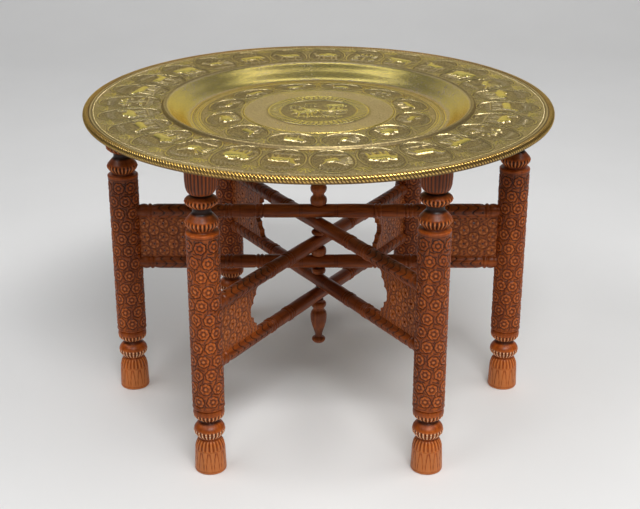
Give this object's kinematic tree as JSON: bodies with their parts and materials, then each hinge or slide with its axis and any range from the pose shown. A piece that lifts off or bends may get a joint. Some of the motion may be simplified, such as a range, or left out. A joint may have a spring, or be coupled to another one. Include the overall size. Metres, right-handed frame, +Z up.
{
  "type": "brass tray table",
  "caption": "Round embossed brass tray with a sunk well, resting loose on a folding stand of crossing turned and carved wooden frames that turn on a central rod.",
  "frame": {"origin": "on the floor below the middle of the tray, centre of the bounding box's lowest face", "axes": "+Z up along the spindle, +X along the first frame towards its right leg, -Y towards the front"},
  "size_m": [0.5999, 0.6, 0.4134],
  "materials": {
    "tray_brass": "embossed, polished high spots on a dull greenish brown patina",
    "leg_wood": "carved and turned, polished, dark in the cuts",
    "rail_wood": "turned, polished",
    "panel_wood": "carved and pierced, polished",
    "spindle_wood": "turned, polished",
    "iron": "plain iron, dull"
  },
  "bodies": {
    "frame_one": {"leg_right": "leg_wood", "leg_left": "leg_wood", "upper_rail_one": "rail_wood", "lower_rail_one": "rail_wood", "panel_right": "panel_wood", "panel_left": "panel_wood", "pivot_rod": "iron", "rod_nuts": "iron", "top_finial": "spindle_wood", "bottom_finial": "spindle_wood", "upper_spacer": "spindle_wood", "middle_spacer": "spindle_wood", "lower_spacer": "spindle_wood"},
    "frame_two": {"leg_back_right": "leg_wood", "leg_front_left": "leg_wood", "upper_rail_two": "rail_wood", "lower_rail_two": "rail_wood", "panel_back_right": "panel_wood", "panel_front_left": "panel_wood"},
    "frame_three": {"leg_front_right": "leg_wood", "leg_back_left": "leg_wood", "upper_rail_three": "rail_wood", "lower_rail_three": "rail_wood", "panel_front_right": "panel_wood", "panel_back_left": "panel_wood"},
    "tray": {"tray_sheet": "tray_brass", "rim_wire": "iron"}
  },
  "joints": [
    {"name": "fold_two", "type": "hinge", "parent": "frame_one", "child": "frame_two", "pos_m": [0, 0, 0.18], "axis": [0, 0, 1], "range_deg": [-49, 26]},
    {"name": "fold_three", "type": "hinge", "parent": "frame_one", "child": "frame_three", "pos_m": [0, 0, 0.2], "axis": [0, 0, 1], "range_deg": [-26, 49]},
    {"name": "tray_lift", "type": "slide", "parent": "frame_one", "child": "tray", "axis": [0, 0, 1], "range_m": [0, 0.15]}
  ]
}
